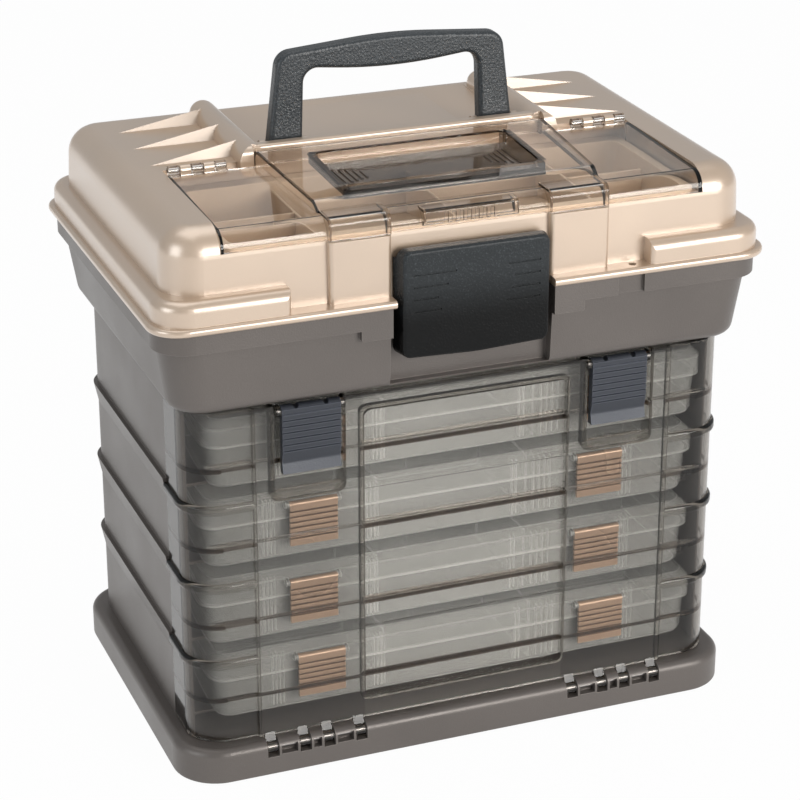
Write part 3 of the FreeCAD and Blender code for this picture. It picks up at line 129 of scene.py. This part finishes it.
def makeGrainGroup():
    look = grainLook
    group, inp, out = startGroup(
        "mouldedGrain",
        (("Colour", "NodeSocketColor", (0.2, 0.2, 0.2, 1)), ("Colour drift", "NodeSocketFloat", 0.06),
         ("Roughness", "NodeSocketFloat", 0.45), ("Grain size", "NodeSocketFloat", 900.0),
         ("Speckle", "NodeSocketFloat", 0.0)),
        (("Colour", "NodeSocketColor"), ("Roughness", "NodeSocketFloat"), ("Height", "NodeSocketFloat")))
    link = group.links.new
    coords = addNode(group, "ShaderNodeTexCoord")
    drift = addNode(group, "ShaderNodeTexNoise", Scale=look["driftScale"], Detail=look["driftDetail"],
                    Roughness=look["driftRoughness"])
    grain = addNode(group, "ShaderNodeTexVoronoi", feature="F1", distance="EUCLIDEAN")
    fine = addNode(group, "ShaderNodeTexNoise", Detail=look["fineDetail"], Roughness=look["fineRoughness"])
    for texture in (drift, grain, fine):
        link(coords.outputs["Object"], texture.inputs["Vector"])
    link(inp.outputs["Grain size"], grain.inputs["Scale"])
    link(maths(group, "MULTIPLY", inp.outputs["Grain size"], look["fineScale"]), fine.inputs["Scale"])
    driftRange = {"From Min": look["driftLow"], "From Max": look["driftHigh"], "To Min": -1.0, "To Max": 1.0}
    drifted = mapRange(group, drift.outputs["Fac"], driftRange)
    fleckRange = {"From Min": look["fleckLow"], "From Max": look["fleckHigh"]}
    fleck = mapRange(group, fine.outputs["Fac"], fleckRange)
    change = maths(group, "ADD", maths(group, "MULTIPLY", drifted, inp.outputs["Colour drift"]),
                   maths(group, "MULTIPLY", fleck, inp.outputs["Speckle"]))
    link(scaleColour(group, inp.outputs["Colour"], maths(group, "ADD", change, 1.0)), out.inputs["Colour"])
    link(maths(group, "MULTIPLY_ADD", drifted, look["roughnessDrift"], inp.outputs["Roughness"]),
         out.inputs["Roughness"])
    link(maths(group, "ADD", grain.outputs["Distance"], fine.outputs["Fac"]), out.inputs["Height"])
    return group


grainGroup = makeGrainGroup()


# Marks the corners of a moulding: 1 at an edge, 0 on the flat of a wall
edgeLook = {"samples": 6, "flat": 0.985, "corner": 0.80}


def makeEdgeGroup():
    group, inp, out = startGroup("mouldedEdge", (("Radius", "NodeSocketFloat", 0.001),),
                                 (("Edge", "NodeSocketFloat"),))
    link = group.links.new
    soft = addNode(group, "ShaderNodeBevel", samples=edgeLook["samples"])
    hard = addNode(group, "ShaderNodeNewGeometry")
    dot = addNode(group, "ShaderNodeVectorMath", operation="DOT_PRODUCT")
    link(inp.outputs["Radius"], soft.inputs["Radius"])
    link(soft.outputs["Normal"], dot.inputs[0])
    link(hard.outputs["Normal"], dot.inputs[1])
    edgeRange = {"From Min": edgeLook["flat"], "From Max": edgeLook["corner"]}
    link(mapRange(group, dot.outputs["Value"], edgeRange), out.inputs["Edge"])
    return group


edgeGroup = makeEdgeGroup()


# Marks the level grooves of a ribbed flap, one set of grooves on each storey: 1 in a groove
flapGrooves = {"first": 0.04841, "storey": 0.0584, "pitch": 0.0277 / 7, "groove": 0.0013, "count": 6,
               "shade": 0.36}


def makeGrooveGroup():
    group, inp, out = startGroup(
        "flapGrooves",
        [(label, "NodeSocketFloat", flapGrooves[key]) for label, key in (
            ("First", "first"), ("Storey", "storey"), ("Pitch", "pitch"), ("Groove", "groove"))]
        + [("Run", "NodeSocketFloat", flapGrooves["pitch"] * flapGrooves["count"])],
        (("Groove", "NodeSocketFloat"),))
    split = objectPlace(group)
    height = maths(group, "SUBTRACT", split.outputs["Z"], inp.outputs["First"])
    storey = maths(group, "FLOORED_MODULO", height, inp.outputs["Storey"])
    step = maths(group, "FLOORED_MODULO", storey, inp.outputs["Pitch"])
    inRun = maths(group, "LESS_THAN", storey, inp.outputs["Run"])
    inGroove = maths(group, "LESS_THAN", step, inp.outputs["Groove"])
    group.links.new(maths(group, "MULTIPLY", inRun, inGroove), out.inputs["Groove"])
    return group


grooveGroup = makeGrooveGroup()

# Depth of the grain's bump, reach of the painted highlight on corners and how finely corners are rounded
surfaceLook = {"bumpDepth": 0.0002, "edgeHighlightReach": 0.0012, "roundSamples": 4}


def mouldedPlastic(name, colour, roughness, grain, bump, drift=0.06, speckle=0.0, metallic=0.0,
                   coat=0.0, coatRoughness=0.3, coatIor=1.5, specular=0.5, edge=0.0006, edgeHighlight=0.0,
                   paintedReflection=None, grooves=None):
    mat, tree, out, shader = startMaterial(name)
    link = tree.links.new
    setInputs(shader, {"Metallic": metallic, "Coat Weight": coat, "Coat Roughness": coatRoughness,
                       "Coat IOR": coatIor, "Specular IOR Level": specular})
    group = useGroup(tree, grainGroup, {"Colour": colour, "Colour drift": drift, "Roughness": roughness,
                                        "Grain size": grain, "Speckle": speckle})
    tone = group.outputs["Colour"]
    if paintedReflection:
        # Painted reflection: the upper part of the piece is painted paler than the lower part, which is
        # darkened
        split = objectPlace(tree)
        reflectionRange = {"From Min": paintedReflection["low"], "From Max": paintedReflection["high"], "To Min": paintedReflection["dark"]}
        height = mapRange(tree, split.outputs["Z"], reflectionRange, interpolation_type="SMOOTHSTEP")
        tone = scaleColour(tree, tone, height)
    if edgeHighlight:
        # Painted highlight: corners are painted a little paler, where light catches the rounded moulding
        edgeHighlightMask = useGroup(tree, edgeGroup, {"Radius": surfaceLook["edgeHighlightReach"]})
        tone = scaleColour(tree, tone, maths(tree, "MULTIPLY_ADD", edgeHighlightMask.outputs["Edge"], edgeHighlight, 1.0))
    if grooves:
        # The grooves of the ribbed face lie in shade
        comb = useGroup(tree, grooveGroup, {})
        tone = scaleColour(tree, tone, mapRange(tree, comb.outputs["Groove"],
                                                {"To Min": 1.0, "To Max": grooves["shade"]}))
    relief = addNode(tree, "ShaderNodeBump", Strength=bump, Distance=surfaceLook["bumpDepth"])
    soft = addNode(tree, "ShaderNodeBevel", samples=surfaceLook["roundSamples"], Radius=edge)
    link(tone, shader.inputs["Base Color"])
    link(group.outputs["Roughness"], shader.inputs["Roughness"])
    link(group.outputs["Height"], relief.inputs["Height"])
    link(soft.outputs["Normal"], relief.inputs["Normal"])
    link(relief.outputs["Normal"], shader.inputs["Normal"])
    link(shader.outputs["BSDF"], out.inputs["Surface"])
    return mat


# Clear mouldings: the smoke tint lies in the thickness, so thick places look darker than the
# walls, and light passes on shadow rays, so that what lies inside is lit
clearLook = {"roughness": 0.02, "ior": 1.4, "waveScale": 22.0, "waveDetail": 1.0, "waveStrength": 0.05,
             "waveDepth": 0.0006, "edgeReach": 0.0006, "clear": 0.98, "passing": (0.97, 0.97, 0.97, 1)}


# The ribs inside the wall hold more smoke, so each shows as a dark line across it
def ribLines(tree, split, ribs):
    near = None
    for level in ribs["levels"]:
        hit = maths(tree, "COMPARE", split.outputs["Z"], level, ribs["half"])
        near = maths(tree, "MAXIMUM", near, hit) if near else hit
    inside = maths(tree, "GREATER_THAN", split.outputs["Y"], ribs["behind"])
    return maths(tree, "MULTIPLY", inside, near)


# Zones whose tint is darkened: each is a range of |X| and of Y
def zoneTone(tree, split, zones):
    level = clearLook["clear"]
    away = maths(tree, "ABSOLUTE", split.outputs["X"])
    for zone in zones:
        both = maths(tree, "MULTIPLY", between(tree, away, zone["from"], zone["to"]),
                     between(tree, split.outputs["Y"], zone["front"], zone["rear"]))
        level = maths(tree, "MULTIPLY_ADD", both, -zone["loss"], level)
    return level


def clearPlastic(name, tint, density, rim, zones, ribs=None):
    look = clearLook
    mat, tree, out, shader = startMaterial(name)
    link = tree.links.new
    setInputs(shader, {"Roughness": look["roughness"], "IOR": look["ior"], "Transmission Weight": 1.0,
                       "Metallic": 0.0})
    coords = addNode(tree, "ShaderNodeTexCoord")
    wave = addNode(tree, "ShaderNodeTexNoise", Scale=look["waveScale"], Detail=look["waveDetail"])
    relief = addNode(tree, "ShaderNodeBump", Strength=look["waveStrength"], Distance=look["waveDepth"])
    link(coords.outputs["Object"], wave.inputs["Vector"])
    link(wave.outputs["Fac"], relief.inputs["Height"])
    link(relief.outputs["Normal"], shader.inputs["Normal"])
    split = objectPlace(tree)
    dark = useGroup(tree, edgeGroup, {"Radius": look["edgeReach"]}).outputs["Edge"]
    if ribs:
        dark = maths(tree, "MAXIMUM", dark, ribLines(tree, split, ribs))
    tone = zoneTone(tree, split, zones)
    plain = addNode(tree, "ShaderNodeCombineColor")
    for socket in plain.inputs:
        link(tone, socket)
    colour = addNode(tree, "ShaderNodeMix", data_type="RGBA")
    ends = {socket.name: socket for socket in colour.inputs if socket.type == "RGBA"}
    ends["B"].default_value = rim
    link(plain.outputs[0], ends["A"])
    link(dark, colour.inputs["Factor"])
    link([socket for socket in colour.outputs if socket.type == "RGBA"][0], shader.inputs["Base Color"])
    passing = addNode(tree, "ShaderNodeBsdfTransparent", Color=look["passing"])
    path = addNode(tree, "ShaderNodeLightPath")
    mix = addNode(tree, "ShaderNodeMixShader")
    smoke = addNode(tree, "ShaderNodeVolumeAbsorption", Color=tint, Density=density)
    link(path.outputs["Is Shadow Ray"], mix.inputs["Fac"])
    link(shader.outputs["BSDF"], mix.inputs[1])
    link(passing.outputs["BSDF"], mix.inputs[2])
    link(mix.outputs["Shader"], out.inputs["Surface"])
    link(smoke.outputs["Volume"], out.inputs["Volume"])
    return mat


# Frosted mouldings: thin milky walls with denser corners, painted whiter as a painted highlight
frostLook = {"ior": 1.45, "roughness": 0.32, "drift": 0.05, "grain": 1500.0, "bump": 0.15,
             "edgeReach": 0.0012, "paintedHighlightColour": srgb(252, 254, 254)}


def frostedPlastic(name, colour, alpha, edgeAlpha):
    look = frostLook
    mat, tree, out, shader = startMaterial(name)
    link = tree.links.new
    setInputs(shader, {"Metallic": 0.0, "IOR": look["ior"]})
    group = useGroup(tree, grainGroup, {"Colour": colour, "Colour drift": look["drift"],
                                        "Roughness": look["roughness"], "Grain size": look["grain"]})
    edge = useGroup(tree, edgeGroup, {"Radius": look["edgeReach"]}).outputs["Edge"]
    # Corners are painted whiter, a painted highlight, and are made less clear
    tone = addNode(tree, "ShaderNodeMixRGB")
    tone.inputs["Color2"].default_value = look["paintedHighlightColour"]
    relief = addNode(tree, "ShaderNodeBump", Strength=look["bump"], Distance=surfaceLook["bumpDepth"])
    link(edge, tone.inputs["Fac"])
    link(group.outputs["Colour"], tone.inputs["Color1"])
    link(tone.outputs["Color"], shader.inputs["Base Color"])
    link(mapRange(tree, edge, {"To Min": alpha, "To Max": edgeAlpha}), shader.inputs["Alpha"])
    link(group.outputs["Roughness"], shader.inputs["Roughness"])
    link(group.outputs["Height"], relief.inputs["Height"])
    link(relief.outputs["Normal"], shader.inputs["Normal"])
    link(shader.outputs["BSDF"], out.inputs["Surface"])
    return mat


steelLook = {"colour": srgb(150, 146, 143), "streakScale": 400.0, "streakDetail": 2.0, "smooth": 0.22,
             "rough": 0.42}


def steelWire(name):
    look = steelLook
    mat, tree, out, shader = startMaterial(name)
    link = tree.links.new
    setInputs(shader, {"Metallic": 1.0, "Base Color": look["colour"]})
    coords = addNode(tree, "ShaderNodeTexCoord")
    streak = addNode(tree, "ShaderNodeTexNoise", Scale=look["streakScale"], Detail=look["streakDetail"])
    link(coords.outputs["Object"], streak.inputs["Vector"])
    link(mapRange(tree, streak.outputs["Fac"], {"To Min": look["smooth"], "To Max": look["rough"]}),
         shader.inputs["Roughness"])
    link(shader.outputs["BSDF"], out.inputs["Surface"])
    return mat


# Where the clear pieces are darkened, in metres from the middle: the whole width ends well within 0.2
wide = 0.2
doorRibs = {"behind": -0.1277, "half": 0.0015, "levels": (0.2294, 0.1716, 0.114, 0.058)}
doorZones = ({"from": 0.0745, "to": wide, "front": -wide, "rear": wide, "loss": 0.20},
             {"from": 0.1525, "to": wide, "front": -wide, "rear": wide, "loss": 0.10},
             {"from": 0.1525, "to": wide, "front": -0.104, "rear": wide, "loss": 0.30})
# The cover's first zone, the crown's dish, is darkened as painted shade in its recess
coverZones = ({"from": 0.0, "to": 0.0745, "front": -0.086, "rear": -0.023, "loss": 0.78},
              {"from": 0.107, "to": wide, "front": -wide, "rear": 0.0, "loss": 0.02})
latchReflection = {"low": 0.318, "high": 0.358, "dark": 0.05}

# Corners of the body, the latches and the tray are painted paler, a painted highlight
materials = {
    "pewterBody": mouldedPlastic("pewterBody", srgb(101, 95, 91), 0.36, 900.0, 0.35, speckle=0.12,
                                 metallic=0.35, edgeHighlight=0.5),
    "champagneLid": mouldedPlastic("champagneLid", srgb(194, 169, 144), 0.34, 1100.0, 0.14, drift=0.04,
                                   speckle=0.05, metallic=0.35, coat=1.0, coatIor=2.3),
    "charcoalHandle": mouldedPlastic("charcoalHandle", srgb(48, 52, 55), 0.38, 520.0, 0.9, speckle=1.4),
    # The front latch's upper part is painted paler than its darkened lower part, a painted reflection
    "blackLatch": mouldedPlastic("blackLatch", srgb(44, 47, 49), 0.30, 560.0, 0.7, speckle=1.3, specular=0.2,
                                 paintedReflection=latchReflection),
    "slateLatch": mouldedPlastic("slateLatch", srgb(52, 55, 62), 0.38, 900.0, 0.3, speckle=0.3, metallic=0.3,
                                 edgeHighlight=1.4),
    "copperLatch": mouldedPlastic("copperLatch", srgb(198, 170, 148), 0.30, 900.0, 0.1, metallic=0.4,
                                  edge=0.0002, edgeHighlight=0.4, grooves=flapGrooves),
    "tanTray": mouldedPlastic("tanTray", srgb(200, 178, 154), 0.42, 1200.0, 0.15, metallic=0.1, edgeHighlight=0.3),
    "smokedDoor": clearPlastic("smokedDoor", (0.42, 0.36, 0.28, 1), 190.0, srgb(90, 76, 66), doorZones,
                               doorRibs),
    "smokedCover": clearPlastic("smokedCover", (0.44, 0.36, 0.27, 1), 110.0, srgb(104, 84, 70), coverZones),
    "frostedBox": frostedPlastic("frostedBox", srgb(232, 236, 236), 0.27, 0.75),
    "slotWhite": frostedPlastic("slotWhite", srgb(240, 243, 243), 0.45, 0.6),
    "pinSteel": steelWire("pinSteel"),
}
print("materials made:", len(materials))


def dress(material, *names):
    for name in names:
        mesh = nodes[name].data
        if not mesh.materials:
            mesh.materials.append(materials[material])
        for i in range(len(mesh.materials)):
            mesh.materials[i] = materials[material]


dress("pewterBody", "base_tray", "cabinet_shell", "box_runners", "top_tub")
dress("champagneLid", "lid_shell")
dress("tanTray", "bait_tray", "bait_tray_dividers")
dress("smokedCover", "top_cover")
dress("smokedDoor", "front_door")
dress("charcoalHandle", "carry_handle")
dress("blackLatch", "front_latch")
dress("slateLatch", "door_latch_left", "door_latch_right")
dress("pinSteel", *[name for name in nodes if name.endswith(("_pins", "_pin"))])
for number in (1, 2, 3, 4):
    base = "box_%d_" % number
    dress("frostedBox", base + "base", base + "lid", base + "dividers")
    dress("copperLatch", base + "latch_left", base + "latch_right")
print("nodes dressed")


# Slots for loose dividers: rows of thin ribs behind the front wall of each utility box
slotRibs = {"width": 0.0009, "depth": 0.0032, "height": 0.0405, "back": -0.1032, "middle": 0.0245,
            "rows": ({"centre": -0.1348, "count": 4, "pitch": 0.0026},
                     {"centre": -0.0600, "count": 4, "pitch": 0.0026},
                     {"centre": 0.0454, "count": 2, "pitch": 0.0030},
                     {"centre": 0.0665, "count": 4, "pitch": 0.0042},
                     {"centre": 0.1308, "count": 4, "pitch": 0.0030}),
            "boxes": ({"number": 1, "shift": 0.0055, "level": 0.2056},
                      {"number": 2, "shift": 0.0010, "level": 0.1472},
                      {"number": 3, "shift": 0.0005, "level": 0.0888},
                      {"number": 4, "shift": 0.0055, "level": 0.0304})}


def pickOnly(piece):
    bpy.ops.object.select_all(action="DESELECT")
    piece.select_set(True)
    bpy.context.view_layer.objects.active = piece


def ribRow(row):
    bpy.ops.object.select_all(action="DESELECT")
    bpy.ops.mesh.primitive_cube_add(size=1, location=(0, 0, 0))
    rib = bpy.context.object
    start = row["centre"] - (row["count"] - 1) * row["pitch"] / 2
    bpy.ops.object.mode_set(mode="EDIT")
    bpy.ops.mesh.select_all(action="SELECT")
    bpy.ops.transform.resize(value=(slotRibs["width"], slotRibs["depth"], slotRibs["height"]))
    bpy.ops.mesh.bevel(offset=slotRibs["width"] / 4, segments=2, affect="EDGES")
    bpy.ops.mesh.select_all(action="SELECT")
    bpy.ops.transform.translate(value=(start, slotRibs["back"], slotRibs["middle"]))
    bpy.ops.object.mode_set(mode="OBJECT")
    array = rib.modifiers.new("row", "ARRAY")
    array.count = row["count"]
    array.use_relative_offset = False
    array.use_constant_offset = True
    array.constant_offset_displace = (row["pitch"], 0, 0)
    bpy.ops.object.modifier_apply(modifier="row")
    return rib


def makeSlotRibs():
    rows = [ribRow(row) for row in slotRibs["rows"]]
    bpy.ops.object.select_all(action="DESELECT")
    for row in rows:
        row.select_set(True)
    bpy.context.view_layer.objects.active = rows[0]
    bpy.ops.object.join()
    first = bpy.context.object
    first.data.materials.append(materials["slotWhite"])
    pieces = [first]
    for _ in slotRibs["boxes"][1:]:
        pickOnly(first)
        bpy.ops.object.duplicate(linked=False)
        pieces.append(bpy.context.object)
    for piece, box in zip(pieces, slotRibs["boxes"]):
        piece.name = "slotRibsBox%d" % box["number"]
        pickOnly(piece)
        bpy.ops.object.mode_set(mode="EDIT")
        bpy.ops.mesh.select_all(action="SELECT")
        bpy.ops.transform.translate(value=(box["shift"], 0, box["level"]))
        bpy.ops.object.mode_set(mode="OBJECT")
        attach(piece, "box_%d" % box["number"])


makeSlotRibs()
print("slot ribs made")


# A pale floor that is white where it is seen, so that it runs into the white ground
floorLook = {"size": 12.0, "level": -0.0005, "colour": (0.86, 0.86, 0.86, 1), "roughness": 0.8, "seen": 0.97}


def makeFloor():
    bpy.ops.object.select_all(action="DESELECT")
    bpy.ops.mesh.primitive_plane_add(size=floorLook["size"], location=(0, 0, floorLook["level"]))
    floor = bpy.context.object
    floor.name = "studioFloor"
    mat, tree, out, shader = startMaterial("paleFloor")
    link = tree.links.new
    setInputs(shader, {"Base Color": floorLook["colour"], "Roughness": floorLook["roughness"]})
    glow = addNode(tree, "ShaderNodeEmission", Color=(1, 1, 1, 1), Strength=1.0)
    path = addNode(tree, "ShaderNodeLightPath")
    mix = addNode(tree, "ShaderNodeMixShader")
    seen = maths(tree, "MAXIMUM", path.outputs["Is Camera Ray"], path.outputs["Is Transmission Ray"])
    seen = maths(tree, "MAXIMUM", seen, path.outputs["Is Glossy Ray"])
    link(maths(tree, "MULTIPLY", seen, floorLook["seen"]), mix.inputs["Fac"])
    link(shader.outputs["BSDF"], mix.inputs[1])
    link(glow.outputs["Emission"], mix.inputs[2])
    link(mix.outputs["Shader"], out.inputs["Surface"])
    floor.data.materials.append(mat)


# White where it is seen, and a soft cool light elsewhere
worldLook = {"colour": (0.96, 0.98, 1, 1), "strength": 0.45}


def makeWorld():
    world = bpy.data.worlds.new("studioWorld")
    bpy.context.scene.world = world
    world.use_nodes = True
    tree = world.node_tree
    tree.nodes.clear()
    link = tree.links.new
    out = addNode(tree, "ShaderNodeOutputWorld")
    seen = addNode(tree, "ShaderNodeBackground", Color=(1, 1, 1, 1), Strength=1.0)
    lit = addNode(tree, "ShaderNodeBackground", Color=worldLook["colour"], Strength=worldLook["strength"])
    path = addNode(tree, "ShaderNodeLightPath")
    mix = addNode(tree, "ShaderNodeMixShader")
    link(maths(tree, "MAXIMUM", path.outputs["Is Camera Ray"], path.outputs["Is Transmission Ray"]),
         mix.inputs["Fac"])
    link(lit.outputs["Background"], mix.inputs[1])
    link(seen.outputs["Background"], mix.inputs[2])
    link(mix.outputs["Shader"], out.inputs["Surface"])


lamps = ({"name": "keySoftbox", "place": (1.1, -2.5, 0.9), "target": (0, 0, 0.25), "size": (1.5, 1.2),
          "power": 52.0, "colour": (1.0, 0.985, 0.96)},
         {"name": "topSoftbox", "place": (-0.1, 0.2, 2.0), "target": (0, 0, 0.3), "size": (1.6, 1.4),
          "power": 9.0, "colour": (1.0, 0.99, 0.97)},
         {"name": "sideSoftbox", "place": (-2.1, -0.7, 0.9), "target": (0, 0, 0.25), "size": (1.2, 1.2),
          "power": 12.0, "colour": (0.90, 0.96, 1.0)})


def makeLamp(values):
    data = bpy.data.lights.new(values["name"], "AREA")
    data.shape = "RECTANGLE"
    data.size, data.size_y = values["size"]
    data.energy = values["power"]
    data.color = values["colour"]
    lamp = bpy.data.objects.new(values["name"], data)
    bpy.context.scene.collection.objects.link(lamp)
    place = Vector(values["place"])
    turn = (Vector(values["target"]) - place).to_track_quat("-Z", "Y").to_matrix().to_4x4()
    lamp.matrix_world = Matrix.Translation(place) @ turn


makeFloor()
makeWorld()
for lamp in lamps:
    makeLamp(lamp)

# Camera: fitted to the straight edges of the base, the door and the lid's rim. Angles are in
# degrees, and the focal length is in pixels of the picture.
cameraFit = {"place": (-0.6199, -1.6080, 0.9438), "yaw": 21.1391, "pitch": 23.2711, "roll": -0.038,
             "focal": 2597.3, "picture": 800, "sensor": 36.0, "reach": 50}


def makeCamera():
    yaw = math.radians(cameraFit["yaw"])
    pitch = math.radians(cameraFit["pitch"])
    roll = math.radians(cameraFit["roll"])
    forward = Vector((math.sin(yaw) * math.cos(pitch), math.cos(yaw) * math.cos(pitch), -math.sin(pitch)))
    level = Vector((math.cos(yaw), -math.sin(yaw), 0))
    above = level.cross(forward)
    right = level * math.cos(roll) + above * math.sin(roll)
    up = above * math.cos(roll) - level * math.sin(roll)
    data = bpy.data.cameras.new("camera")
    data.sensor_fit = "HORIZONTAL"
    data.sensor_width = cameraFit["sensor"]
    data.lens = cameraFit["focal"] / cameraFit["picture"] * cameraFit["sensor"]
    data.clip_end = cameraFit["reach"]
    camera = bpy.data.objects.new("camera", data)
    bpy.context.scene.collection.objects.link(camera)
    turn = Matrix((right, up, -forward)).transposed().to_4x4()
    camera.matrix_world = Matrix.Translation(Vector(cameraFit["place"])) @ turn
    bpy.context.scene.camera = camera


makeCamera()
bpy.context.scene.view_settings.view_transform = "Standard"
print("stage, lamps and camera made")
